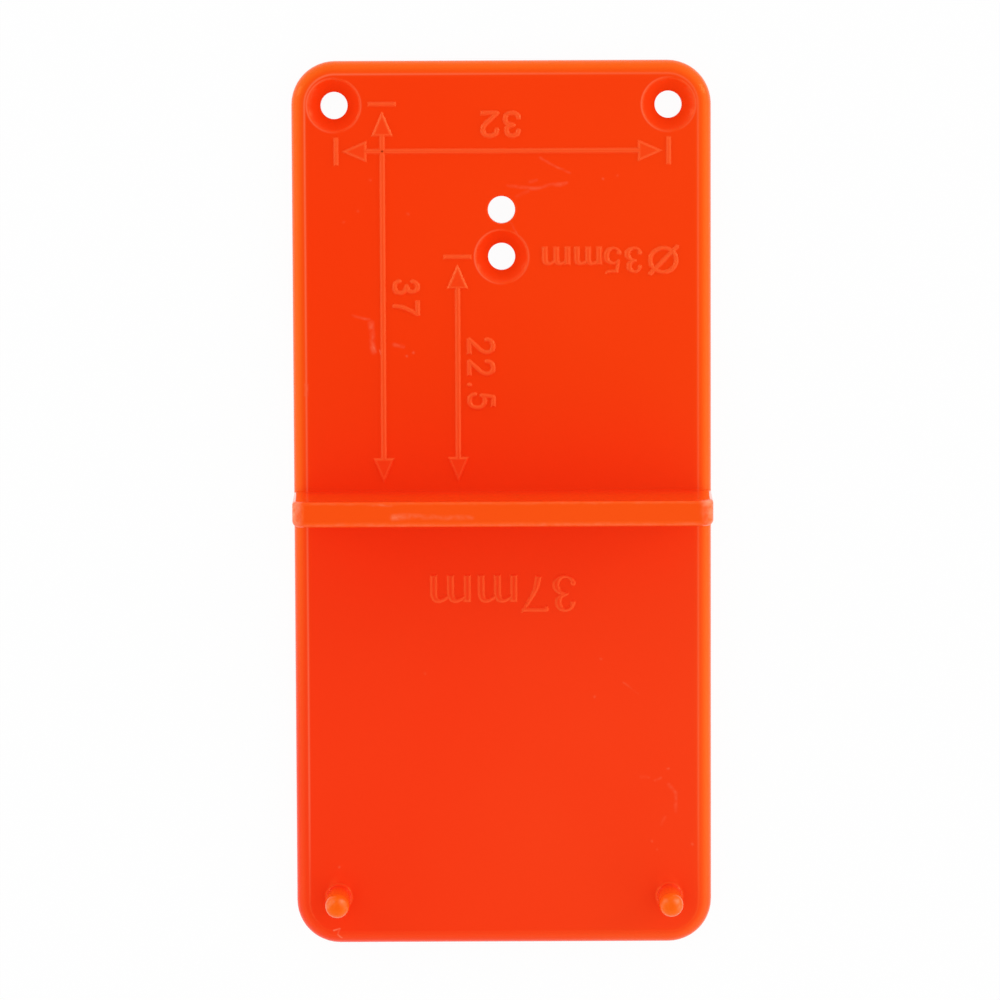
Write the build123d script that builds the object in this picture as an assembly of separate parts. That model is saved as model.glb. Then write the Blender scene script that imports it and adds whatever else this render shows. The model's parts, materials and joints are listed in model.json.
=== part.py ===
from build123d import *
import math
import os

# Hinge drilling jig for kitchen-cabinet hinges, injection moulded in one piece of orange plastic.
# A flat plate carries a stop fence across it. The fence is laid against the edge of a cabinet door,
# and the guide holes above it then lie on the hinge's fixing points. Turned round, the fence is laid
# against the edge of the cabinet's side panel, and the two pins below it reach the same line there.
# The jig lies on its flat back: X across the plate, Y along it towards the guide holes, Z out of the
# face that carries the fence. The origin is the middle of the back. Lengths are in millimetres.

# Hinge pattern, measured from the fence's two faces
screw_spacing = 32.0
fixing_hole_distance = 37.0
cup_centre_distance = 22.5
pin_distance = 37.0

# Guide holes for a thin drill or an awl
drill_diameter = 2.5
drill_clearance = 0.1
countersink_diameter = 5.05
countersink_angle = 90.0
countersink_lip_rounding = 0.35
pilot_rim_rounding = 0.15

# Plate, with the flats left round the countersinks
plate_thickness = 2.4
corner_radius = 4.2
edge_rounding = 1.3
back_edge_rounding = 0.3
side_land = 0.275
end_land = 0.425
pilot_land = 0.675
pin_end_margin = 4.65

# Stop fence
fence_thickness = 2.4
fence_height = 12.6
fence_end_draft = 1.6
fence_end_rounding = 1.1
door_rim_rounding = 0.3
cabinet_rim_rounding = 0.6

# Locating pins
pin_diameter = 2.3
pin_height = 6.2
pin_tip_flat = 0.5
pin_root_rounding = 0.25

# Places that follow from the sizes above
hole_radius = (drill_diameter + drill_clearance) / 2
countersink_radius = countersink_diameter / 2
countersink_depth = (countersink_radius - hole_radius) / math.tan(math.radians(countersink_angle / 2))
side_margin = countersink_radius + side_land + edge_rounding
hole_end_margin = countersink_radius + end_land + edge_rounding
plate_width = screw_spacing + 2 * side_margin
door_side_length = fixing_hole_distance + hole_end_margin
cabinet_side_length = pin_distance + pin_end_margin
plate_length = door_side_length + fence_thickness + cabinet_side_length
door_face_y = plate_length / 2 - door_side_length
cabinet_face_y = door_face_y - fence_thickness
fixing_line_y = door_face_y + fixing_hole_distance
cup_centre_y = door_face_y + cup_centre_distance
second_pilot_y = cup_centre_y + countersink_radius + pilot_land + hole_radius
pin_line_y = cabinet_face_y - pin_distance
screw_x = screw_spacing / 2
touch = 1e-4


def moulded_plate():
    """The flat plate, with round corners and a full rounding along the edge of its working face."""
    plate = extrude(RectangleRounded(plate_width, plate_length, corner_radius), amount=plate_thickness)
    plate = fillet(plate.faces().sort_by(Axis.Z)[-1].edges(), edge_rounding)
    return fillet(plate.faces().sort_by(Axis.Z)[0].edges(), back_edge_rounding)


def stop_fence():
    """The rib across the plate: two square faces, drafted ends and a softened rim on both sides."""
    foot_z = plate_thickness - edge_rounding
    top_z = plate_thickness + fence_height
    half_foot = plate_width / 2
    half_top = half_foot - (top_z - foot_z) * math.tan(math.radians(fence_end_draft))
    elevation = Polygon(
        (-half_foot, foot_z), (half_foot, foot_z), (half_top, top_z), (-half_top, top_z), align=None
    )
    elevation = fillet(elevation.vertices().group_by(Axis.Y)[-1], fence_end_rounding)
    fence = extrude(Plane.XZ.offset(-door_face_y) * elevation, amount=fence_thickness)
    for side, rounding in ((0, cabinet_rim_rounding), (-1, door_rim_rounding)):
        face = fence.faces().sort_by(Axis.Y)[side]
        rim = [edge for edge in face.edges() if edge.bounding_box().max.Z > foot_z + touch]
        fence = fillet(rim, rounding)
    return fence


def locating_pin():
    """A round pin with a domed tip, standing on the working face."""
    radius = pin_diameter / 2
    shaft = extrude(Pos(0, 0, plate_thickness) * Circle(radius), amount=pin_height)
    return fillet(shaft.edges().sort_by(Axis.Z)[-1], radius - pin_tip_flat / 2)


def round_edges_at(solid, radius, centres):
    """The circles of one radius that lie in the working face round the given centres."""
    found = []
    for edge in solid.edges().filter_by(GeomType.CIRCLE):
        middle = edge.arc_center
        in_face = abs(middle.Z - plate_thickness) < touch and abs(edge.radius - radius) < touch
        if in_face and any(abs(middle.X - x) + abs(middle.Y - y) < touch for x, y in centres):
            found.append(edge)
    return found


def guide_hole():
    """What a guide hole takes out of the plate, right through it."""
    return extrude(Circle(hole_radius), amount=plate_thickness)


def countersink():
    """The cone above a guide hole, wide side up in the working face."""
    wide_side_up = (Align.CENTER, Align.CENTER, Align.MAX)
    cone = Cone(hole_radius, countersink_radius, countersink_depth, align=wide_side_up)
    return Pos(0, 0, plate_thickness) * cone


def drilling_jig():
    """The whole moulding."""
    countersunk = [(-screw_x, fixing_line_y), (screw_x, fixing_line_y), (0, cup_centre_y)]
    plain = [(0, second_pilot_y)]
    pins = [(-screw_x, pin_line_y), (screw_x, pin_line_y)]
    jig = moulded_plate() + stop_fence()
    jig += [Pos(x, y) * locating_pin() for x, y in pins]
    jig = fillet(round_edges_at(jig, pin_diameter / 2, pins), pin_root_rounding)
    jig -= [Pos(x, y) * guide_hole() for x, y in countersunk + plain]
    jig -= [Pos(x, y) * countersink() for x, y in countersunk]
    jig = fillet(round_edges_at(jig, countersink_radius, countersunk), countersink_lip_rounding)
    return fillet(round_edges_at(jig, hole_radius, plain), pilot_rim_rounding)


os.makedirs("parts", exist_ok=True)
jig_plate = drilling_jig()
export_step(jig_plate, "parts/jig_plate.step")
print("jig_plate", round(jig_plate.volume, 1), jig_plate.bounding_box())
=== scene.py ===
"""Looks for a moulded drilling jig for hinges: its plastic, its raised dimensions and a studio."""
import json
import math

import bpy
import numpy as np
from bpy.props import FloatProperty, FloatVectorProperty, PointerProperty
from mathutils import Matrix, Vector


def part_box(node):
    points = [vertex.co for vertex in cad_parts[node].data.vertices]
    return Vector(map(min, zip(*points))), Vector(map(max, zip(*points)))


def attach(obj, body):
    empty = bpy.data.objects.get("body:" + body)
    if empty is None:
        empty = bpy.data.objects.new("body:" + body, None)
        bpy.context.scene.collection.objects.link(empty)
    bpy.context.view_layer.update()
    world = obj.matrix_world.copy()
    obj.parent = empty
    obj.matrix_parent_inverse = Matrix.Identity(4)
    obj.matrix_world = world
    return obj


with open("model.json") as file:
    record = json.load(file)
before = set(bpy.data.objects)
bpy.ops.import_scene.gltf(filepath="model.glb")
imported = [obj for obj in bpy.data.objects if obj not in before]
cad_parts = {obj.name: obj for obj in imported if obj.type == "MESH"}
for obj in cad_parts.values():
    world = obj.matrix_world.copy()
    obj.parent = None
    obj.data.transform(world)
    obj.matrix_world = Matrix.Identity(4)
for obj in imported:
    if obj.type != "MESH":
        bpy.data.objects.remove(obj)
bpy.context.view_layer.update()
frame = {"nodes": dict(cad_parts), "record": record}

bl_info = {
    "name": "Hinge drilling jig",
    "version": (1, 0, 0),
    "blender": (4, 5, 0),
    "location": "3D View > Sidebar > Jig",
    "description": "Plastic, raised dimensions and studio for a hinge drilling jig",
    "category": "Object",
}

MM = 0.001

# Places on the jig, in millimetres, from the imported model's own mounts
MOUNTS = {m["name"]: [v / MM for v in m["pos_m"]] for m in frame["record"]["mounts"]}
DOOR_FACE_Y = MOUNTS["fence_door_face"][1]
FACE_Z = MOUNTS["working_face"][2]
SCREW_X = MOUNTS["fixing_hole_right"][0]
PIN_Y = MOUNTS["pin_right"][1]
FIXING_Y = MOUNTS["fixing_hole_right"][1]
CUP_Y = MOUNTS["cup_centre_hole"][1]
HALF_WIDTH, HALF_LENGTH, FENCE_TOP_Z = (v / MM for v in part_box("jig_plate")[1])

# Roundings of the moulding, in millimetres: the plate's corners seen from above, the edge of its
# working face, and the ring where a countersink's rounded lip meets the face
CORNER = 4.2
EDGE_ROUNDING = 1.3
LIP_RADIUS = 2.6


# Colour and node helpers

def from_hex(code):
    """An sRGB hex colour as linear red, green and blue, with full alpha."""
    parts = [int(code[i:i + 2], 16) / 255 for i in (1, 3, 5)]
    linear = [c / 12.92 if c <= 0.04045 else ((c + 0.055) / 1.055) ** 2.4 for c in parts]
    return (*linear, 1.0)


def add_node(tree, kind, settings=None, **inputs):
    """Adds a node, sets its properties, and fills its inputs with values or joins them to outputs.

    An input is named as its socket is, with _ for a space, or in_0, in_1 and so on for its place
    in the list.
    """
    node = tree.nodes.new("ShaderNode" + kind)
    for name, value in (settings or {}).items():
        setattr(node, name, value)
    for name, value in inputs.items():
        key = int(name[3:]) if name.startswith("in_") else name.replace("_", " ")
        socket = node.inputs[key]
        if isinstance(value, bpy.types.NodeSocket):
            tree.links.new(value, socket)
        else:
            socket.default_value = value
    return node


def calc(tree, operation, *values):
    """The result of a Math node."""
    inputs = {f"in_{i}": value for i, value in enumerate(values)}
    return add_node(tree, "Math", {"operation": operation}, **inputs).outputs[0]


def vector_calc(tree, operation, *vectors):
    """The result of a Vector Math node, which is a number for a length, distance or dot product."""
    inputs = {f"in_{i}": value for i, value in enumerate(vectors)}
    node = add_node(tree, "VectorMath", {"operation": operation}, **inputs)
    return node.outputs["Value" if operation in ("LENGTH", "DISTANCE", "DOT_PRODUCT") else "Vector"]


def scaled(tree, vector, factor):
    """A vector times a number."""
    node = add_node(tree, "VectorMath", {"operation": "SCALE"}, in_0=vector, Scale=factor)
    return node.outputs["Vector"]


def ramp(tree, value, start, end, at_start, at_end, shape="LINEAR"):
    """A value carried from one range over to another, and held beyond both ends."""
    return add_node(
        tree, "MapRange", {"interpolation_type": shape}, Value=value,
        From_Min=start, From_Max=end, To_Min=at_start, To_Max=at_end,
    ).outputs[0]


def largest(tree, first, *others):
    """The largest of several values."""
    for other in others:
        first = calc(tree, "MAXIMUM", first, other)
    return first


def blend(tree, share, first, second):
    """A mix of two colours: a Mix node's sockets 6 and 7, with the mix in its output 2."""
    node = add_node(tree, "Mix", {"data_type": "RGBA"}, in_0=share, in_6=first, in_7=second)
    return node.outputs[2]


def new_tree(owner):
    """The node tree of a new material or world, cleared."""
    owner.use_nodes = True
    owner.node_tree.nodes.clear()
    return owner.node_tree


# The plastic

# Worn places and painted highlights, as the ends of a stroke in millimetres, its half width, and
# how far it is painted pale
SCUFFS_AND_HIGHLIGHTS = [
    # Worn places on the working face and on the fence's top
    ((-14.35, 18.30, FACE_Z), (-12.75, 17.95, FACE_Z), 0.22, 0.12),
    ((-12.55, 17.60, FACE_Z), (-12.35, 14.80, FACE_Z), 0.42, 0.17),
    ((-12.30, 15.20, FACE_Z), (-12.15, 14.80, FACE_Z), 0.25, 0.3),
    ((-10.30, 15.45, FACE_Z), (-9.50, 15.35, FACE_Z), 0.35, 0.2),
    ((-10.20, 0.00, FENCE_TOP_Z), (-8.80, 0.05, FENCE_TOP_Z), 0.45, 0.25),
    ((-8.80, 0.10, FENCE_TOP_Z), (-2.85, -0.10, FENCE_TOP_Z), 0.35, 0.14),
    ((-12.10, 1.20, FENCE_TOP_Z), (-10.30, 1.12, FENCE_TOP_Z), 0.2, 0.25),
    ((0.64, 30.63, FACE_Z), (2.80, 30.40, FACE_Z), 0.25, 0.09),
    ((2.80, 30.40, FACE_Z), (6.20, 30.80, FACE_Z), 0.28, 0.13),
    ((3.68, 33.35, FACE_Z), (6.41, 31.86, FACE_Z), 0.22, 0.11),
    ((2.72, 31.00, FACE_Z), (3.40, 31.20, FACE_Z), 0.25, 0.08),
    ((1.45, 29.60, FACE_Z), (2.57, 30.15, FACE_Z), 0.3, 0.08),
    ((0.95, 27.12, FACE_Z), (1.61, 25.88, FACE_Z), 0.15, 0.12),
    ((15.98, -27.14, FACE_Z), (16.60, -27.95, FACE_Z), 0.28, 0.13),
    ((16.60, -27.95, FACE_Z), (16.71, -29.76, FACE_Z), 0.28, 0.11),
    ((13.28, -26.46, FACE_Z), (13.96, -26.51, FACE_Z), 0.22, 0.1),
    ((14.63, -26.75, FACE_Z), (15.21, -26.46, FACE_Z), 0.22, 0.12),
    ((15.60, -30.34, FACE_Z), (15.12, -31.02, FACE_Z), 0.24, 0.11),
    ((11.63, -17.15, FACE_Z), (13.03, -18.23, FACE_Z), 0.14, 0.14),
    ((-18.89, 11.77, FACE_Z), (-18.89, 10.71, FACE_Z), 0.3, 0.2),
    ((-16.55, -41.20, FACE_Z), (-16.05, -41.00, FACE_Z), 0.14, 0.45),
    ((-16.05, -41.00, FACE_Z), (-16.15, -41.55, FACE_Z), 0.14, 0.4),
    ((-16.15, -41.55, FACE_Z), (-15.80, -41.95, FACE_Z - 0.15), 0.14, 0.45),
    # Painted highlights on the shoulders of the pins' tips
    ((-16.50, PIN_Y + 0.50, 8.35), (-16.82, PIN_Y + 0.05, 8.15), 0.42, 0.4),
    ((-15.60, PIN_Y + 0.50, 8.35), (-15.35, PIN_Y - 0.05, 8.2), 0.45, 0.55),
    ((15.42, PIN_Y + 0.50, 8.35), (15.20, PIN_Y + 0.05, 8.15), 0.42, 0.35),
    ((16.40, PIN_Y + 0.50, 8.35), (16.65, PIN_Y - 0.10, 8.25), 0.5, 0.65),
    # Whitened wear and painted highlights at the fence's two ends
    ((-19.9, -0.5, FENCE_TOP_Z - 0.5), (-19.8, 1.3, FENCE_TOP_Z - 0.4), 1.5, 0.95),
    ((-19.2, -0.8, FENCE_TOP_Z - 0.1), (-19.2, 1.3, FENCE_TOP_Z - 0.1), 0.45, 0.45),
    ((19.5, -0.7, FENCE_TOP_Z - 0.4), (19.4, 1.3, FENCE_TOP_Z - 0.3), 1.1, 0.5),
    ((19.3, 1.4, FENCE_TOP_Z - 0.3), (19.8, 1.4, FENCE_TOP_Z - 1.5), 1.1, 1.0),
    # Painted highlights along the fence's two top rims, broken up like wear
    ((-19.5, -0.85, FENCE_TOP_Z - 0.1), (19.5, -0.85, FENCE_TOP_Z - 0.1), 0.35, 0.13),
    ((-19.5, 1.3, FENCE_TOP_Z), (19.5, 1.3, FENCE_TOP_Z), 0.25, 0.08),
    # A worn place on the working face
    ((-11.72, 14.95, FACE_Z + 0.1), (-11.6, 14.55, FACE_Z + 0.1), 0.15, 0.25),
    # A painted highlight at the fence's right end
    ((19.4, -1.0, FENCE_TOP_Z - 0.4), (19.6, -0.9, FENCE_TOP_Z - 0.5), 0.4, 0.6),
]

# Small pits and grains of dust: places in millimetres on the working face, and what they share
SPECKS = [
    (-9.08, 14.42), (-8.41, 14.71), (15.92, -25.6), (14.34, -32.67), (14.83, -33.55),
    (18.14, -32.93), (-15.85, -35.07), (-7.52, -16.2), (9.37, -14.91), (8.83, -18.6),
    (-12.56, 31.28), (-13.69, 28.33), (-15.13, 27.28), (-9.0, 28.02), (9.76, 31.24), (11.2, 31.62),
]
SPECK_HALF_WIDTH, SPECK_STRENGTH = 0.22, 0.16
SCUFFS_AND_HIGHLIGHTS += [((x, y, FACE_Z), (x, y, FACE_Z), SPECK_HALF_WIDTH, SPECK_STRENGTH) for x, y in SPECKS]

# Noise, in patches to the metre: what makes strokes wander, what breaks them up, the clouds in the
# pigment, and the swell that the mould's polish leaves, about two millimetres across
WANDER_SCALE, GRAIN_SCALE, CLOUD_SCALE, SWELL_SCALE = 500.0, 1500.0, 60.0, 400.0

# How far a stroke may wander, and how high the swell and the bump along the wear and the painted
# highlights stand
WANDER, BUMP_HEIGHT = 0.6 * MM, 0.05 * MM

# Half widths in millimetres and strengths of the painted highlight lines: the crease at the plate's
# left and right, and the lips of the countersinks
CREASE_HIGHLIGHT_HALF_WIDTH, CREASE_HIGHLIGHT_LEFT, CREASE_HIGHLIGHT_RIGHT = 0.17, 0.2, 0.1
LIP_HIGHLIGHT_HALF_WIDTH, LIP_HIGHLIGHT_STRENGTH = 0.14, 0.2

# How strong the painted glow is, as if light came through, at the plate's edge, high on the fence,
# at the pins' tips and in the marks, and how strong the painted highlight on the marks is
EDGE_GLOW, FENCE_GLOW, PIN_GLOW, MARK_GLOW = 0.78, 0.36, 0.72, 0.22
MARK_HIGHLIGHT = 0.065

# Height of the fence from which its painted glow is full, and of the middle of a pin's tip
FENCE_GLOW_Z, PIN_TIP_Z = 9.5, 8.0

# Whitened plastic, which is also the colour of the painted highlights, its roughness, and how far a
# place must be painted pale to be that rough
PALE_WEAR_AND_HIGHLIGHT, PALE_ROUGHNESS, FULLY_ROUGH = "#FFA884", 0.5, 0.5


def distance_to_stroke(tree, point, start, end):
    """The distance from a point to a straight stroke: its foot on the stroke, then the length.

    A speck is a stroke whose ends are the same, and one node measures it.
    """
    a, b = Vector(start) * MM, Vector(end) * MM
    if a == b:
        return vector_calc(tree, "DISTANCE", point, a)
    length = (b - a).length
    way = (b - a) / length
    from_start = vector_calc(tree, "SUBTRACT", point, a)
    along = vector_calc(tree, "DOT_PRODUCT", from_start, way)
    held = add_node(tree, "Clamp", None, in_0=along, in_1=0.0, in_2=length).outputs[0]
    return vector_calc(tree, "DISTANCE", from_start, scaled(tree, way, held))


def scuff_and_highlight_mask(tree, place):
    """How far each place is painted pale, as wear and as painted highlight: the largest of all
    strokes, broken up by fine noise.
    """
    wander = add_node(tree, "TexNoise", None, Vector=place, Scale=WANDER_SCALE, Detail=3.0)
    centred = vector_calc(tree, "SUBTRACT", wander.outputs["Color"], (0.5, 0.5, 0.5))
    point = vector_calc(tree, "ADD", place, scaled(tree, centred, WANDER))
    strokes = []
    for start, end, half_width, strength in SCUFFS_AND_HIGHLIGHTS:
        gap = distance_to_stroke(tree, point, start, end)
        strokes.append(ramp(tree, gap, 0.0, half_width * MM, strength, 0.0, "SMOOTHSTEP"))
    grain = add_node(tree, "TexNoise", None, Vector=place, Scale=GRAIN_SCALE, Detail=4.0)
    broken = ramp(tree, grain.outputs["Fac"], 0.35, 0.65, 0.2, 1.0)
    return calc(tree, "MULTIPLY", largest(tree, *strokes), broken)


def reach_from_core(tree, folded):
    """How far a place lies outside the plate's core: its outline less the corner radius all round.

    folded is the place without its signs, so that one corner stands for all four. The core is a
    metre high, so height doesn't count.
    """
    core = ((HALF_WIDTH - CORNER) * MM, (HALF_LENGTH - CORNER) * MM, 1.0)
    outside = vector_calc(tree, "MAXIMUM", vector_calc(tree, "SUBTRACT", folded, core), (0, 0, 0))
    return vector_calc(tree, "LENGTH", outside)


def line_at(tree, distance, at, half_width, strength):
    """A soft line where a distance in metres comes to at; at and half_width are in millimetres."""
    gap = calc(tree, "ABSOLUTE", calc(tree, "SUBTRACT", distance, at * MM))
    return ramp(tree, gap, 0.0, half_width * MM, strength, 0.0, "SMOOTHSTEP")


def crease_highlight(tree, split, reach):
    """A painted highlight: the fine pale line where the rounding of the plate's edge begins, on the
    working face alone.

    It is clearest at the left, where the light is strongest, and it fades away towards the pin end.
    """
    x, y, z = split.outputs
    line = line_at(tree, reach, CORNER - EDGE_ROUNDING, CREASE_HIGHLIGHT_HALF_WIDTH, 1.0)
    # The painted highlight is stronger at the left than at the right
    strength = ramp(tree, x, -HALF_WIDTH * MM, HALF_WIDTH * MM, CREASE_HIGHLIGHT_LEFT, CREASE_HIGHLIGHT_RIGHT)
    gone, full = (2 - HALF_LENGTH) * MM, (14 - HALF_LENGTH) * MM
    shown = calc(tree, "MULTIPLY", strength, ramp(tree, y, gone, full, 0.0, 1.0))
    on_face = ramp(tree, z, (FACE_Z + 0.05) * MM, (FACE_Z + 0.15) * MM, 1.0, 0.0)
    return calc(tree, "MULTIPLY", calc(tree, "MULTIPLY", line, shown), on_face)


def lip_highlight(tree, place, centre):
    """A painted highlight: the fine pale ring round a countersink, clearest at the left and faint
    above and below, as the light falls.
    """
    out = vector_calc(tree, "SUBTRACT", place, (*centre, FACE_Z * MM))
    from_centre = vector_calc(tree, "LENGTH", out)
    ring = line_at(tree, from_centre, LIP_RADIUS, LIP_HIGHLIGHT_HALF_WIDTH, LIP_HIGHLIGHT_STRENGTH)
    way = add_node(tree, "SeparateXYZ", None, Vector=vector_calc(tree, "NORMALIZE", out))
    # Painted highlight strongest at the left, weaker at the right and faint above and below
    share = calc(tree, "ABSOLUTE", calc(tree, "MULTIPLY_ADD", way.outputs["X"], 0.8, -0.2))
    return calc(tree, "MULTIPLY", ring, share)


def painted_glow_share(tree, place, split, folded, reach, raised):
    """Painted glow, as if light came through the plastic: the largest of the values for the edge,
    fence, pins and marks.

    The value of the plate's edge fades towards the lower left, a painted shade where less light
    falls; the fence's grows with height, and the pins' is largest round their tips.
    """
    inner, outer = (CORNER - 2.0) * MM, (CORNER + 0.3) * MM
    band = ramp(tree, reach, inner, outer, 0.0, EDGE_GLOW, "SMOOTHERSTEP")
    # The edge's painted glow fades towards the lower left, a painted shade where less light falls
    slant = vector_calc(tree, "DOT_PRODUCT", place, (0.8, 1, 0))
    side = ramp(tree, slant, -46 * MM, -6 * MM, 0.0, 1.0, "SMOOTHSTEP")
    edge = calc(tree, "MULTIPLY", band, side)
    # The fence is painted lighter with height, and the pins round their tips
    foot, full = (FACE_Z + 0.1) * MM, FENCE_GLOW_Z * MM
    tall = ramp(tree, split.outputs["Z"], foot, full, 0.0, FENCE_GLOW, "SMOOTHSTEP")
    tip = (SCREW_X * MM, -PIN_Y * MM, PIN_TIP_Z * MM)
    from_tip = vector_calc(tree, "DISTANCE", folded, tip)
    pin = ramp(tree, from_tip, 1.5 * MM, 5 * MM, PIN_GLOW, 0.0, "SMOOTHSTEP")
    return largest(tree, edge, tall, pin, calc(tree, "MULTIPLY", raised, MARK_GLOW))


def glossy_orange_polypropylene(settings):
    """Injection-moulded polypropylene in signal orange, smooth and glossy from a polished mould.

    Thin edges, the fence and the pins are painted lighter and more yellow, as if light came through
    them. Where the skin is scuffed it turns pale and dull, and the same pale colour paints
    highlights at the crease, the countersinks' lips, the marks' sides, the pins' tips and the
    fence.
    """
    material = bpy.data.materials.new("glossy_orange_polypropylene")
    tree = new_tree(material)
    place = add_node(tree, "TexCoord").outputs["Object"]
    split = add_node(tree, "SeparateXYZ", None, Vector=place)
    folded = vector_calc(tree, "ABSOLUTE", place)
    reach = reach_from_core(tree, folded)
    # How strongly each mark is painted with glow and highlight
    raised = add_node(tree, "Attribute", {"attribute_name": "raised"}).outputs["Fac"]

    # The colour changes a little from the pin end to the screw end, and the right side is painted
    # lighter and more yellow than the left, as if more light fell there
    drift = ramp(tree, split.outputs["Y"], -8 * MM, 16 * MM, 0.0, 1.0, "SMOOTHSTEP")
    end_to_end_colour = blend(tree, drift, (*settings.pin_end_colour, 1), (*settings.screw_end_colour, 1))
    clouds = add_node(tree, "TexNoise", None, Vector=place, Scale=CLOUD_SCALE, Detail=2.0)
    cloudy = ramp(tree, clouds.outputs["Fac"], 0.3, 0.7, 0.96, 1.04)
    # Painted light: the right side lighter and more yellow, the left deeper red
    across = ramp(tree, split.outputs["X"], -HALF_WIDTH * MM, HALF_WIDTH * MM, 0.9, 1.1)
    yellow = calc(tree, "MULTIPLY", cloudy, across)
    tint = add_node(tree, "CombineXYZ", None, X=1.0, Y=yellow, Z=yellow).outputs[0]
    tinted = vector_calc(tree, "MULTIPLY", end_to_end_colour, tint)
    # Painted glow: lighter and more yellow where light would come through
    thin = painted_glow_share(tree, place, split, folded, reach, raised)
    lit = blend(tree, thin, tinted, (*settings.thin_colour, 1))

    # Wear and painted highlights: scuffs, painted highlights at the pins' tips and the fence's rims
    # and ends, the crease, the sides of the marks and the lips of the countersinks
    countersinks = ((-SCREW_X, FIXING_Y), (SCREW_X, FIXING_Y), (0, CUP_Y))
    lip_highlights = [lip_highlight(tree, place, (x * MM, y * MM)) for x, y in countersinks]
    # Painted highlight on the marks' sloping sides
    mark_highlight = calc(tree, "MULTIPLY", raised, MARK_HIGHLIGHT)
    wear_and_highlight = largest(tree, scuff_and_highlight_mask(tree, place), crease_highlight(tree, split, reach), mark_highlight, *lip_highlights)
    # Wear and painted highlights in the whitened colour
    colour = blend(tree, wear_and_highlight, lit, from_hex(PALE_WEAR_AND_HIGHLIGHT))
    roughness = ramp(tree, wear_and_highlight, 0.0, FULLY_ROUGH, settings.roughness, PALE_ROUGHNESS)

    # The skin swells a little and is bumped along the wear and the painted highlights, and its
    # shine is tinged with orange
    swell = add_node(tree, "TexNoise", None, Vector=place, Scale=SWELL_SCALE, Detail=1.0)
    soft = add_node(
        tree, "Bump", None, Strength=0.03, Distance=BUMP_HEIGHT, Height=swell.outputs["Fac"]
    ).outputs[0]
    wear_and_highlight_bump = add_node(
        tree, "Bump", None, Strength=0.5, Distance=BUMP_HEIGHT, Height=wear_and_highlight, Normal=soft
    ).outputs[0]
    shader = add_node(
        tree, "BsdfPrincipled", None, Base_Color=colour, Roughness=roughness, Normal=wear_and_highlight_bump,
        IOR=1.49, Specular_IOR_Level=0.4, Specular_Tint=(1.0, 0.6, 0.12, 1.0),
    )
    add_node(tree, "OutputMaterial", None, Surface=shader.outputs[0])
    return material


# Raised marks

def through(points, steps=10):
    """A smooth curve through points (Catmull-Rom: cubics that follow their neighbours' slope)."""
    p = np.asarray(points, float)
    padded = np.vstack([2 * p[0] - p[1], p, 2 * p[-1] - p[-2]])
    t = np.linspace(0, 1, steps, endpoint=False)[None, :, None]
    a, b, c, d = (padded[i:len(p) - 1 + i, None, :] for i in range(4))
    bend, twist = 2 * a - 5 * b + 4 * c - d, 3 * b - a - 3 * c + d
    curve = 0.5 * (2 * b + (c - a) * t + bend * t**2 + twist * t**3)
    return np.vstack([curve.reshape(-1, p.shape[1]), p[-1:]])


def stroke_depth(u, v, path, square):
    """How deep each grid point lies inside a stroke: half its width less the way to its middle.

    path holds u, v and half width for each point of the middle line. square says whether its start
    and its end are cut square, or else they are round.
    """
    path = np.asarray(path, float)
    if len(path) == 1:
        return path[0, 2] - np.hypot(u - path[0, 0], v - path[0, 1])
    points = np.stack([u, v], -1)[..., None, :]
    start, end = path[:-1, :2], path[1:, :2]
    way = end - start
    share = np.clip(((points - start) * way).sum(-1) / (way**2).sum(-1), 0, 1)
    gap = np.linalg.norm(points - start - share[..., None] * way, axis=-1)
    inside = (path[:-1, 2] + share * (path[1:, 2] - path[:-1, 2]) - gap).max(-1)
    for cut, tip, before in ((square[0], 0, 1), (square[1], -1, -2)):
        if cut:
            out = path[tip, :2] - path[before, :2]
            out = out / np.linalg.norm(out)
            inside = np.minimum(inside, -((points[..., 0, :] - path[tip, :2]) @ out))
    return inside


def polygon_depth(u, v, corners):
    """How deep each grid point lies inside a convex polygon with its corners counter-clockwise."""
    corners = np.asarray(corners, float)
    inside = np.full(u.shape, np.inf)
    for a, b in zip(corners, np.roll(corners, -1, axis=0)):
        way = (b - a) / np.linalg.norm(b - a)
        inside = np.minimum(inside, way[0] * (v - a[1]) - way[1] * (u - a[0]))
    return inside


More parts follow.
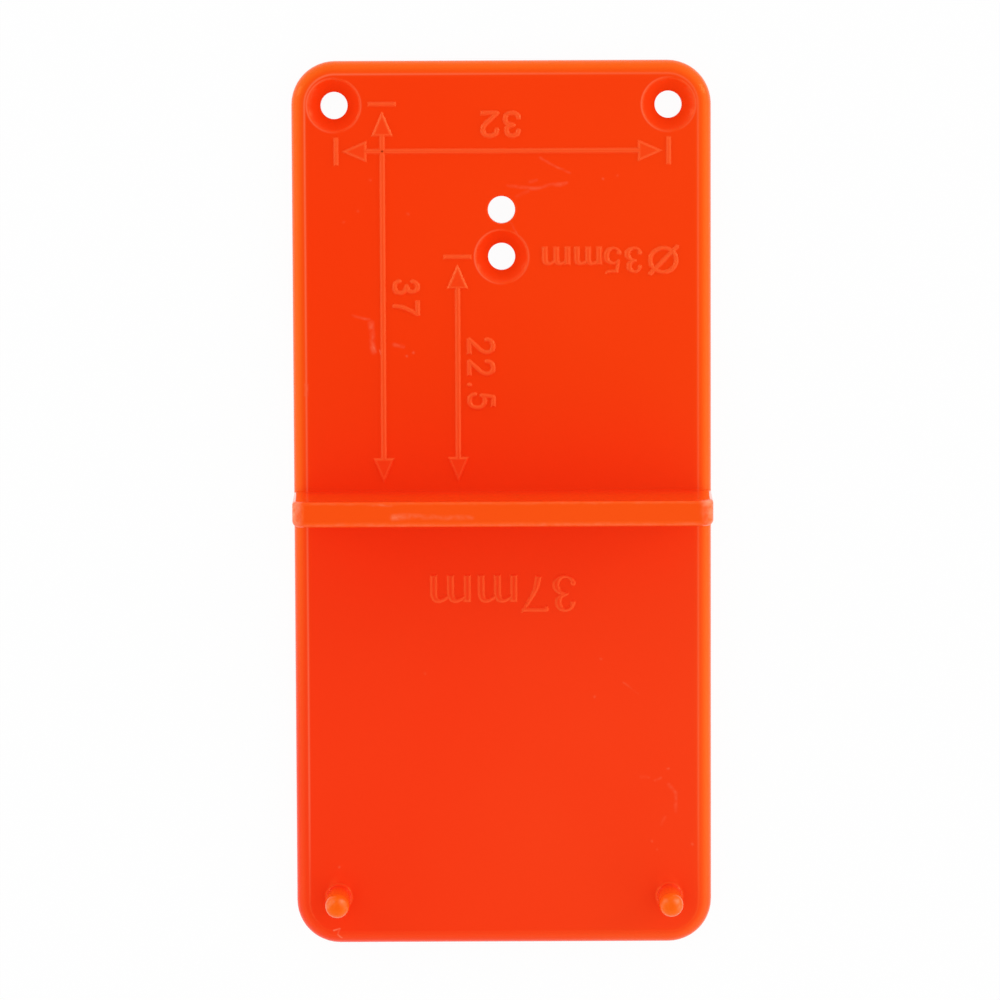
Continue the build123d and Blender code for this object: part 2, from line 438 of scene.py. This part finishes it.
def raised_piece(name, across, along, inside, place, settings, material, share=1.0):
    """A raised mark as one closed surface over a grid of across by along.

    Its height is a share of the marks' height times 3t^2 - 2t^3, where t is the depth inside the
    mark's foot over the width of the sloping side, held between 0 and 1. The outline lies a third
    of the way up the side. Beyond the foot the surface dips into the plate as far as the margin,
    and cells that lie wholly past it are left out. A flat underside, sunk below the face, and a rim
    of walls close it. The attribute "raised" holds how strongly the surface is painted with glow
    and highlight: it grows with t up the sloping side, times the mark's share, with less in the
    middle of a wide stroke.
    """
    u, v = np.meshgrid(across, along, indexing="ij")
    height, side = share * settings.height / MM, settings.side / MM
    inside = inside + side / 3
    margin, sink = 0.06, 0.1
    t = np.clip(inside / side, 0, 1)
    top = FACE_Z + height * (3 * t**2 - 2 * t**3) + np.clip(inside, -margin, 0)
    x0, y0, turn = place
    c, s = math.cos(turn), math.sin(turn)
    x, y = x0 + c * u - s * v, y0 + s * u + c * v
    upper = np.stack([x, y, top], -1).reshape(-1, 3)
    lower = np.stack([x, y, np.full_like(x, FACE_Z - sink)], -1).reshape(-1, 3)

    count = len(upper)
    ids = np.arange(count).reshape(u.shape)
    quads = np.stack([ids[:-1, :-1], ids[1:, :-1], ids[1:, 1:], ids[:-1, 1:]], -1).reshape(-1, 4)
    quads = quads[inside.ravel()[quads].max(1) > -margin]

    # An edge that no other cell runs along the other way lies on the rim
    edges = np.vstack([quads[:, [i, (i + 1) % 4]] for i in range(4)])
    code, back = edges @ [count, 1], edges @ [1, count]
    rim = edges[~np.isin(code, back)]
    walls = np.stack([rim[:, 1], rim[:, 0], rim[:, 0] + count, rim[:, 1] + count], -1)
    faces = np.vstack([quads, quads[:, ::-1] + count, walls])
    used, faces = np.unique(faces, return_inverse=True)
    points = np.vstack([upper, lower])[used] * MM

    mesh = bpy.data.meshes.new(name)
    mesh.from_pydata(points.tolist(), [], faces.reshape(-1, 4).tolist())
    mesh.polygons.foreach_set("use_smooth", np.ones(len(mesh.polygons), bool))

    # The painted highlight and glow are weaker in the middle of a wide stroke: from what depth,
    # over what distance, by how much
    wide, fade, loss = 0.21, 0.12, 0.75
    shown = share * t * (1 - loss * np.clip((inside - wide) / fade, 0, 1))
    values = np.concatenate([shown.ravel(), np.zeros(count)])[used]
    mesh.attributes.new("raised", "FLOAT", "POINT").data.foreach_set("value", values)
    mesh.materials.append(material)
    mesh.validate()
    piece = bpy.data.objects.new(name, mesh)
    bpy.context.scene.collection.objects.link(piece)
    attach(piece, "root")


def dimension_line(name, start, end, ticks, middle, lengthwise, settings, material):
    """A double-headed arrow with a tick beyond each head that needs one.

    start and end are the arrow's two tips and ticks the places of its ticks, all measured along
    it, and middle is the place of the line across it. The grid is fine at the heads and ticks and
    coarse along the shaft, and it leaves some room at every edge. A tick is a little thinner than
    the shaft.
    """
    half = settings.stroke / MM / 2
    head, spread = settings.head_length / MM, settings.head_width / MM / 2
    tick_half = settings.tick_length / MM / 2
    step, edge = 0.035, 0.12
    low, high = min([start, *ticks]) - half - edge, max([end, *ticks]) + half + edge
    fine_low = np.arange(low, start + head + 2 * edge, step)
    fine_high = np.arange(end - head - 2 * edge, high + step, step)
    shaft_rows = 24
    coarse = np.linspace(fine_low[-1], fine_high[0], shaft_rows)[1:-1]
    along = np.concatenate([fine_low, coarse, fine_high])
    across = np.arange(-tick_half - edge, tick_half + edge + step, step)
    u, v = np.meshgrid(across, along, indexing="ij")
    line = [(0, start + head / 2, half), (0, end - head / 2, half)]
    shaft = stroke_depth(u, v, line, (True, True))
    lower = polygon_depth(u, v, [(0, start), (spread, start + head), (-spread, start + head)])
    upper = polygon_depth(u, v, [(0, end), (-spread, end - head), (spread, end - head)])
    inside = np.maximum(shaft, np.maximum(lower, upper))
    thin = half * 0.9
    for at in ticks:
        bar = stroke_depth(u, v, [(-tick_half, at, thin), (tick_half, at, thin)], (True, True))
        inside = np.maximum(inside, bar)
    place = (middle, 0, 0) if lengthwise else (0, middle, -math.pi / 2)
    raised_piece(name, across, along, inside, place, settings, material)


# Figures as pen strokes in a box of width 1 and height 1. Each stroke is the points of its middle
# line, with their share of the pen's half width, and whether its two ends are cut square.

def even(*points):
    """Points of a stroke of one width."""
    return [(x, y, 1.0) for x, y in points]


def curved(*points):
    """A smooth stroke with round ends."""
    return through(points), (False, False)


PLAIN = {
    "2": [
        curved(*even((0.02, 0.74), (0.12, 0.91), (0.46, 1.0), (0.82, 0.94), (0.96, 0.74),
                     (0.84, 0.52), (0.52, 0.31), (0.03, 0.0))),
        (even((0.03, 0.0), (1.08, 0.0)), (False, True)),
    ],
    "3": [
        curved(*even((0.02, 0.78), (0.13, 0.92), (0.45, 1.0), (0.78, 0.93), (0.9, 0.76),
                     (0.78, 0.6), (0.42, 0.53))),
        curved(*even((0.42, 0.53), (0.82, 0.46), (1.0, 0.27), (0.86, 0.07), (0.48, 0.0),
                     (0.14, 0.06), (0.0, 0.2))),
    ],
    "5": [
        (even((0.92, 1.0), (0.2, 1.0), (0.08, 0.52)), (True, False)),
        curved(*even((0.08, 0.52), (0.3, 0.62), (0.62, 0.64), (0.92, 0.52), (1.0, 0.32),
                     (0.87, 0.09), (0.5, 0.0), (0.15, 0.06), (0.0, 0.22))),
    ],
    "7": [
        (even((-0.05, 1.0), (1.0, 1.0)), (True, False)),
        curved(*even((1.0, 1.0), (0.7, 0.68), (0.46, 0.34), (0.36, 0.0))),
    ],
    ".": [(even((0.5, 0.0), (0.5, 0.35)), (False, False))],
    "O": [
        (through([(0.5 + 0.5 * math.cos(a), 0.5 + 0.5 * math.sin(a), 1.0)
                  for a in np.linspace(0, 2 * math.pi, 17)], 4), (False, False)),
        (even((-0.02, -0.06), (1.0, 1.06)), (False, False)),
    ],
}

# Figures of a book face: thick on the downstroke and thin at the turns
BOOK = {
    "3": [
        curved((0.0, 0.8, 0.7), (0.14, 0.93, 0.6), (0.42, 1.0, 0.6), (0.74, 0.93, 1.0),
               (0.86, 0.76, 1.2), (0.74, 0.6, 0.9), (0.38, 0.52, 0.5)),
        curved((0.38, 0.52, 0.5), (0.78, 0.46, 0.9), (1.0, 0.27, 1.25), (0.86, 0.08, 1.0),
               (0.5, 0.0, 0.6), (0.16, 0.05, 0.6), (0.0, 0.18, 0.8)),
        ([(0.02, 0.2, 0.95)], (False, False)),
        ([(0.03, 0.79, 0.85)], (False, False)),
    ],
    "5": [
        curved((1.02, 1.06, 0.3), (0.86, 1.0, 0.7), (0.5, 0.98, 0.7), (0.2, 0.98, 0.7)),
        ([(0.2, 0.98, 0.7), (0.08, 0.52, 0.6)], (False, False)),
        curved((0.08, 0.52, 0.5), (0.3, 0.62, 0.6), (0.6, 0.63, 0.8), (0.9, 0.52, 1.1),
               (1.0, 0.32, 1.25), (0.86, 0.1, 1.0), (0.5, 0.0, 0.6), (0.16, 0.05, 0.6),
               (0.0, 0.18, 0.8)),
        ([(0.02, 0.2, 0.95)], (False, False)),
    ],
    "7": [
        (even((0.0, 1.0), (0.96, 1.0)), (False, False)),
        ([(0.0, 1.0, 0.8), (0.0, 0.9, 0.75)], (False, True)),
        ([(0.9, 0.98, 0.6), (1.05, 1.08, 0.3)], (False, False)),
        (through([(0.94, 0.96, 0.6), (0.68, 0.66, 0.8), (0.46, 0.34, 1.2), (0.34, -0.04, 1.5)]),
         (False, True)),
    ],
    "m": [
        (even((0.0, 1.06), (0.0, -0.1)), (True, True)),
        curved((0.0, 0.72, 0.4), (0.12, 0.88, 0.5), (0.3, 1.0, 0.6), (0.44, 0.94, 0.9),
               (0.5, 0.74, 1.0)),
        (even((0.5, 0.74), (0.5, -0.1)), (False, True)),
        curved((0.5, 0.72, 0.4), (0.62, 0.88, 0.5), (0.8, 1.0, 0.6), (0.94, 0.94, 0.9),
               (1.0, 0.74, 1.0)),
        (even((1.0, 0.74), (1.0, -0.1)), (False, True)),
    ],
}


def figures(name, signs, place, settings, material, share=1.0):
    """A line of raised figures.

    Each sign is its strokes, its left edge, width, foot and height, and the pen's half width, in
    millimetres along the line. The depth inside each stroke is worked out where the grid is near
    it, and the deepest one counts. The grid leaves some room at every edge.
    """
    step, edge = 0.04, 0.12
    right = max(left + width for _, left, width, _, _, _ in signs)
    bottom = min(foot for _, _, _, foot, _, _ in signs)
    top = max(foot + height for _, _, _, foot, height, _ in signs)
    across = np.arange(-2 * edge, right + 3 * edge, step)
    along = np.arange(bottom - 2 * edge, top + 3 * edge, step)
    u, v = np.meshgrid(across, along, indexing="ij")
    inside = np.full(u.shape, -1.0)
    for strokes, left, width, foot, height, pen in signs:
        for path, square in strokes:
            path = np.array(path, float)
            path[:, 0] = left + pen + path[:, 0] * (width - 2 * pen)
            path[:, 1] = foot + pen + path[:, 1] * (height - 2 * pen)
            path[:, 2] *= pen
            near = (u[:, 0] > path[:, 0].min() - 3 * pen) & (u[:, 0] < path[:, 0].max() + 3 * pen)
            inside[near] = np.maximum(inside[near], stroke_depth(u[near], v[near], path, square))
    raised_piece(name, across, along, inside, place, settings, material, share)


# Settings that a user would change

class JigPlastic(bpy.types.PropertyGroup):
    """The moulded plastic."""
    screw_end_colour: FloatVectorProperty(
        name="Colour at the screw end", description="Plastic where the guide holes are",
        subtype="COLOR", default=from_hex("#FA3D0D")[:3], min=0, max=1,
    )
    pin_end_colour: FloatVectorProperty(
        name="Colour at the pin end", description="Plastic where the pins are",
        subtype="COLOR", default=from_hex("#FA3D17")[:3], min=0, max=1,
    )
    # Colour of the painted glow, where light would come through
    thin_colour: FloatVectorProperty(
        name="Colour where thin", description="Plastic where light comes through it",
        subtype="COLOR", default=from_hex("#FE6C10")[:3], min=0, max=1,
    )
    roughness: FloatProperty(
        name="Roughness", description="Polish that the mould leaves",
        subtype="FACTOR", default=0.13, min=0, max=1,
    )


class JigMarks(bpy.types.PropertyGroup):
    """The raised arrows and figures."""
    height: FloatProperty(
        name="Height", description="How far a mark stands out of the face",
        unit="LENGTH", default=0.135 * MM,
    )
    side: FloatProperty(
        name="Side", description="Width of a mark's sloping side",
        unit="LENGTH", default=0.2 * MM,
    )
    stroke: FloatProperty(
        name="Stroke", description="Width of an arrow's line",
        unit="LENGTH", default=0.44 * MM,
    )
    head_length: FloatProperty(
        name="Head length", description="Length of an arrow's head",
        unit="LENGTH", default=2.3 * MM,
    )
    head_width: FloatProperty(
        name="Head width", description="Width of an arrow's head",
        unit="LENGTH", default=1.98 * MM,
    )
    tick_length: FloatProperty(
        name="Tick length", description="Length of the tick at a hole",
        unit="LENGTH", default=2.64 * MM,
    )


class JigStudio(bpy.types.PropertyGroup):
    """Light and floor."""
    key: FloatProperty(
        name="Key light", description="Power of the light at the right", unit="POWER", default=0.2,
    )
    fill: FloatProperty(
        name="Fill light", description="Power of the light at the left", unit="POWER", default=0.16,
    )
    strip: FloatProperty(
        name="Strips", description="Power of the strip left of the opening; the others follow it",
        unit="POWER", default=0.07,
    )
    wall: FloatProperty(
        name="Tent wall", description="Brightness of the tent's walls", default=1.57, min=0,
    )
    roof: FloatProperty(
        name="Tent roof", description="Brightness of the tent's roof", default=0.6, min=0,
    )


# Operators

class JIG_OT_plastic(bpy.types.Operator):
    """Gives the moulded jig its plastic"""
    bl_idname = "jig.plastic"
    bl_label = "Plastic"

    def execute(self, context):
        body = frame["nodes"]["jig_plate"]
        body.data.materials.clear()
        body.data.materials.append(glossy_orange_polypropylene(context.scene.jig_plastic))
        return {"FINISHED"}


def jig_material():
    """The plastic that the body already has."""
    return frame["nodes"]["jig_plate"].data.materials[0]


# Arrows, in millimetres: name, tips, ticks, place of the line, and whether it runs lengthwise
ARROWS = [
    ("arrow_to_fixing_line", DOOR_FACE_Y + 0.86, FIXING_Y - 0.64, [FIXING_Y + 0.1], -11.39, True),
    ("arrow_to_cup_centre", DOOR_FACE_Y + 0.96, CUP_Y - 0.75, [CUP_Y - 0.02], -4.24, True),
    (
        "arrow_between_screws", 0.79 - SCREW_X, SCREW_X - 0.61, [0.2 - SCREW_X, SCREW_X],
        FIXING_Y - 4.4, False,
    ),
]

# Lines of figures: name, the signs as figures() takes them, the place and turn of the line's start,
# and its share of the marks' height
UPSIDE_DOWN, SIDEWAYS = math.pi, -math.pi / 2
FIGURES = [
    (
        "figures_screw_spacing",
        [(PLAIN["3"], 0.0, 1.71, 0.0, 2.58, 0.2), (PLAIN["2"], 2.05, 1.85, 0.0, 2.58, 0.2)],
        (1.88, DOOR_FACE_Y + 36.42, UPSIDE_DOWN), 1.0,
    ),
    (
        "figures_cup_diameter",
        [
            (PLAIN["O"], 0.0, 2.85, -0.02, 2.66, 0.18),
            (BOOK["3"], 3.44, 1.63, -0.05, 2.67, 0.2),
            (BOOK["5"], 5.42, 1.67, -0.05, 2.67, 0.2),
            (BOOK["m"], 7.31, 2.64, -0.1, 1.98, 0.25),
            (BOOK["m"], 10.34, 2.67, -0.1, 1.98, 0.25),
        ],
        (16.9, DOOR_FACE_Y + 23.42, UPSIDE_DOWN), 1.0,
    ),
    (
        "figures_fixing_distance",
        [(PLAIN["3"], 0.0, 1.52, 0.0, 2.61, 0.2), (PLAIN["7"], 1.9, 1.68, 0.0, 2.61, 0.2)],
        (-10.48, DOOR_FACE_Y + 20.36, SIDEWAYS), 1.0,
    ),
    (
        "figures_cup_distance",
        [
            (PLAIN["2"], 0.0, 1.72, 0.0, 2.69, 0.2),
            (PLAIN["2"], 2.10, 1.68, 0.0, 2.69, 0.2),
            (PLAIN["."], 4.37, 0.4, 0.0, 0.52, 0.19),
            (PLAIN["5"], 5.29, 1.68, 0.0, 2.69, 0.2),
        ],
        (-3.35, DOOR_FACE_Y + 14.78, SIDEWAYS), 1.0,
    ),
    (
        "figures_pin_distance",
        [
            (BOOK["3"], 0.0, 2.19, -0.24, 3.74, 0.24),
            (BOOK["7"], 2.66, 2.61, -0.1, 3.48, 0.19),
            (BOOK["m"], 5.69, 3.75, -0.24, 2.84, 0.3),
            (BOOK["m"], 10.17, 3.84, -0.24, 2.84, 0.3),
        ],
        (7.03, DOOR_FACE_Y - 8.27, UPSIDE_DOWN), 0.72,
    ),
]


class JIG_OT_arrows(bpy.types.Operator):
    """Raises the three dimension arrows on the working face"""
    bl_idname = "jig.arrows"
    bl_label = "Arrows"

    def execute(self, context):
        for name, start, end, ticks, middle, lengthwise in ARROWS:
            dimension_line(
                name, start, end, ticks, middle, lengthwise, context.scene.jig_marks, jig_material()
            )
        return {"FINISHED"}


class JIG_OT_figures(bpy.types.Operator):
    """Raises the dimension figures beside the arrows"""
    bl_idname = "jig.figures"
    bl_label = "Figures"

    def execute(self, context):
        for name, signs, place, share in FIGURES:
            figures(name, signs, place, context.scene.jig_marks, jig_material(), share)
        return {"FINISHED"}


# The studio

# Lamps: name, place and size in millimetres, the setting that holds the power, and its share
LAMPS = [
    ("key_light", (460, 214, 130), (300, 110), "key", 1.0),
    ("fill_light", (-460, 214, 130), (300, 110), "fill", 1.0),
    ("strip_left", (-100, -33, 450), (70, 260), "strip", 1.0),
    ("strip_right", (100, -33, 450), (70, 260), "strip", 0.5),
    ("strip_top", (0, 150, 450), (150, 100), "strip", 0.2),
]

# The tent's dark opening overhead: middle and half size, as steps sideways for one step up, and
# its brightness
OPENING_MIDDLE, OPENING_HALF_SIZE = (0, -0.09, 0), (0.13, 0.28, 1)
OPENING_BRIGHTNESS = 0.05

# The camera, fitted to the photo: place, lens and sensor in millimetres, turn in degrees, and how
# near and how far it sees in metres
CAMERA_PLACE = (-0.4887, 37.9414, 450.9146)
CAMERA_TURN = (-4.7693, -0.0494, -0.2314)
LENS, SENSOR_WIDTH = 168.44, 36.0
NEAREST, FARTHEST = 0.01, 10.0

# How far the floor reaches from the middle, and how far below the jig it lies, in millimetres
FLOOR_REACH, FLOOR_DROP = 900, 0.02

# How much of the white paper is plain white to the camera; the rest takes the light and the shadow
WHITE_SHARE = 0.96

# How the tent's brightness changes to the right, towards both ends, and towards the screw end
TENT_RIGHT, TENT_ENDS, TENT_SCREW_END = 0.12, -0.4, -0.04


def seen_by_camera(tree, path):
    """1 on what the camera sees straight or through something clear, and 0 on other rays."""
    return calc(
        tree, "MAXIMUM", path.outputs["Is Camera Ray"], path.outputs["Is Transmission Ray"]
    )


def mixed_shader(tree, share, first, second):
    """A mix of two shaders."""
    node = add_node(
        tree, "MixShader", None, in_0=share, in_1=first.outputs[0], in_2=second.outputs[0]
    )
    return node.outputs[0]


def matte_white_paper():
    """Paper that looks white to the camera and in the plastic's shine, and keeps a faint shadow."""
    material = bpy.data.materials.new("matte_white_paper")
    tree = new_tree(material)
    path = add_node(tree, "LightPath")
    seen = calc(tree, "MAXIMUM", seen_by_camera(tree, path), path.outputs["Is Glossy Ray"])
    share = calc(tree, "MULTIPLY", seen, WHITE_SHARE)
    paper = add_node(tree, "BsdfDiffuse", None, Color=(0.86, 0.86, 0.86, 1))
    bright = add_node(tree, "Emission", None, Color=(1, 1, 1, 1), Strength=1.0)
    add_node(tree, "OutputMaterial", None, Surface=mixed_shader(tree, share, paper, bright))
    return material


def pale_tent(settings):
    """A world that is a pale tent all round, with a dark opening overhead for the camera.

    The tent is a little brighter at the right and at the pin end, and dimmer towards both ends.
    The camera itself sees plain white.
    """
    world = bpy.data.worlds.new("room")
    tree = new_tree(world)
    way = add_node(tree, "TexCoord").outputs["Generated"]
    x, y, z = add_node(tree, "SeparateXYZ", None, Vector=way).outputs

    # Where each way out meets a level sheet one step up; below the least height there is no opening
    over = calc(tree, "MAXIMUM", z, 0.05)
    plan = add_node(
        tree, "CombineXYZ", None, X=calc(tree, "DIVIDE", x, over), Y=calc(tree, "DIVIDE", y, over)
    ).outputs[0]
    opening = add_node(
        tree, "Mapping", {"vector_type": "TEXTURE"},
        Vector=plan, Location=OPENING_MIDDLE, Scale=OPENING_HALF_SIZE,
    ).outputs[0]
    from_middle = vector_calc(tree, "LENGTH", opening)
    open_share = ramp(tree, from_middle, 0.9, 1.15, 1.0, 0.0, "SMOOTHSTEP")

    # The tent goes over from wall to roof, and its brightness leans
    height = ramp(tree, z, 0.5, 0.9, settings.wall, settings.roof, "SMOOTHSTEP")
    right = calc(tree, "MULTIPLY_ADD", x, TENT_RIGHT, 1.0)
    ends = calc(tree, "MULTIPLY_ADD", calc(tree, "MULTIPLY", y, y), TENT_ENDS, right)
    leaning = calc(tree, "MULTIPLY_ADD", y, TENT_SCREW_END, ends)
    tent = calc(tree, "MULTIPLY", height, leaning)
    level = add_node(
        tree, "Mix", {"data_type": "FLOAT"}, in_0=open_share, in_2=tent, in_3=OPENING_BRIGHTNESS
    ).outputs[0]
    room = add_node(tree, "Background", None, Color=(1, 1, 1, 1), Strength=level)
    white = add_node(tree, "Background", None, Color=(1, 1, 1, 1), Strength=1.0)
    seen = seen_by_camera(tree, add_node(tree, "LightPath"))
    add_node(tree, "OutputWorld", None, Surface=mixed_shader(tree, seen, room, white))
    return world


def soft_box(name, place, size, power):
    """A rectangular lamp that faces the jig, its sides level; place and size in millimetres."""
    lamp = bpy.data.lights.new(name, "AREA")
    lamp.shape = "RECTANGLE"
    lamp.size, lamp.size_y = size[0] * MM, size[1] * MM
    lamp.energy = power
    back = Vector(place).normalized()
    side = Vector((0, 1, 0)).cross(back).normalized()
    turn = Matrix((side, back.cross(side), back)).transposed().to_4x4()
    light = bpy.data.objects.new(name, lamp)
    light.matrix_world = Matrix.Translation(Vector(place) * MM) @ turn
    bpy.context.scene.collection.objects.link(light)


class JIG_OT_studio(bpy.types.Operator):
    """Sets up the pale floor, the soft light and the camera"""
    bl_idname = "jig.studio"
    bl_label = "Studio"

    def execute(self, context):
        scene = context.scene
        studio = scene.jig_studio

        reach = FLOOR_REACH * MM
        mesh = bpy.data.meshes.new("floor")
        corners = [(-reach, -reach, 0), (reach, -reach, 0), (reach, reach, 0), (-reach, reach, 0)]
        mesh.from_pydata(corners, [], [(0, 1, 2, 3)])
        mesh.materials.append(matte_white_paper())
        floor = bpy.data.objects.new("floor", mesh)
        floor.location.z = -FLOOR_DROP * MM
        scene.collection.objects.link(floor)

        scene.world = pale_tent(studio)
        for name, place, size, setting, share in LAMPS:
            soft_box(name, place, size, share * getattr(studio, setting))

        camera_data = bpy.data.cameras.new("camera")
        camera_data.lens, camera_data.sensor_width = LENS, SENSOR_WIDTH
        camera_data.clip_start, camera_data.clip_end = NEAREST, FARTHEST
        camera = bpy.data.objects.new("camera", camera_data)
        camera.location = Vector(CAMERA_PLACE) * MM
        camera.rotation_euler = [math.radians(v) for v in CAMERA_TURN]
        scene.collection.objects.link(camera)
        scene.camera = camera
        scene.view_settings.view_transform = "Standard"
        return {"FINISHED"}


class JIG_PT_panel(bpy.types.Panel):
    """Lists the jig's pieces and settings"""
    bl_label = "Hinge drilling jig"
    bl_idname = "JIG_PT_panel"
    bl_space_type = "VIEW_3D"
    bl_region_type = "UI"
    bl_category = "Jig"

    def draw(self, context):
        layout = self.layout
        for group, operators in (
            (context.scene.jig_plastic, ("jig.plastic",)),
            (context.scene.jig_marks, ("jig.arrows", "jig.figures")),
            (context.scene.jig_studio, ("jig.studio",)),
        ):
            box = layout.box()
            for name in group.bl_rna.properties.keys():
                if name not in ("rna_type", "name"):
                    box.prop(group, name)
            for operator in operators:
                box.operator(operator)


CLASSES = (
    JigPlastic, JigMarks, JigStudio,
    JIG_OT_plastic, JIG_OT_arrows, JIG_OT_figures, JIG_OT_studio, JIG_PT_panel,
)


def register():
    """Registers the classes and hangs their settings on the scene."""
    for one in CLASSES:
        bpy.utils.register_class(one)
    bpy.types.Scene.jig_plastic = PointerProperty(type=JigPlastic)
    bpy.types.Scene.jig_marks = PointerProperty(type=JigMarks)
    bpy.types.Scene.jig_studio = PointerProperty(type=JigStudio)


def unregister():
    """Takes the settings and the classes away again."""
    del bpy.types.Scene.jig_studio
    del bpy.types.Scene.jig_marks
    del bpy.types.Scene.jig_plastic
    for one in reversed(CLASSES):
        bpy.utils.unregister_class(one)


def main():
    register()
    bpy.ops.jig.plastic()
    bpy.ops.jig.arrows()
    bpy.ops.jig.figures()
    bpy.ops.jig.studio()


if __name__ == "__main__":
    main()
